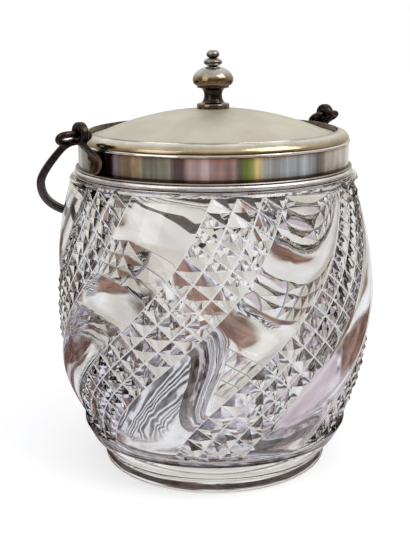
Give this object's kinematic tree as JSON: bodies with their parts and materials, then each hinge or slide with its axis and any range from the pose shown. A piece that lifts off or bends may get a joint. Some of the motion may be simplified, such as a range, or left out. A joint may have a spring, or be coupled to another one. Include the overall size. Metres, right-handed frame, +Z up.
{
  "type": "biscuit jar",
  "caption": "Cut-glass biscuit jar with plated collar, lift-off domed lid with a finial, and a swing handle in cast ears.",
  "frame": {"origin": "centre of the foot, on the surface that the jar stands on", "axes": "+Z up along the jar's axis; X through both ears, along the handle's pivot; the handle hangs towards +Y"},
  "size_m": [0.16, 0.1515, 0.1919],
  "materials": {
    "glass_jar": "cut and polished clear glass",
    "neck_cement": "plaster",
    "collar_bead": "polished silver plate",
    "collar_band": "polished silver plate",
    "collar_wire": "polished silver plate",
    "collar_rim": "polished silver plate",
    "lid_seat": "polished silver plate",
    "left_ear": "dark tarnished plate",
    "right_ear": "dark tarnished plate",
    "handle": "dark tarnished plate",
    "lid_dome": "worn satin silver plate",
    "lid_sleeve": "dull silver plate",
    "finial_spool": "polished silver plate",
    "finial_bulb": "polished silver plate",
    "finial_ring": "polished silver plate",
    "finial_tip": "polished silver plate",
    "finial_stud": "plain",
    "finial_washer": "plain",
    "finial_nut": "plain"
  },
  "bodies": {
    "jar": {"glass_jar": "glass_jar", "neck_cement": "neck_cement", "collar_bead": "collar_bead", "collar_band": "collar_band", "collar_wire": "collar_wire", "collar_rim": "collar_rim", "lid_seat": "lid_seat", "left_ear": "left_ear", "right_ear": "right_ear"},
    "bail": {"handle": "handle"},
    "lid": {"lid_dome": "lid_dome", "lid_sleeve": "lid_sleeve", "finial_spool": "finial_spool", "finial_bulb": "finial_bulb", "finial_ring": "finial_ring", "finial_tip": "finial_tip", "finial_stud": "finial_stud", "finial_washer": "finial_washer", "finial_nut": "finial_nut"}
  },
  "joints": [
    {"name": "handle_swing", "type": "hinge", "parent": "jar", "child": "bail", "pos_m": [0, 0, 0.1593], "axis": [1, 0, 0], "range_deg": [0, 250]},
    {"name": "lid_lift", "type": "slide", "parent": "jar", "child": "lid", "axis": [0, 0, 1], "range_m": [0, 0.15]}
  ]
}
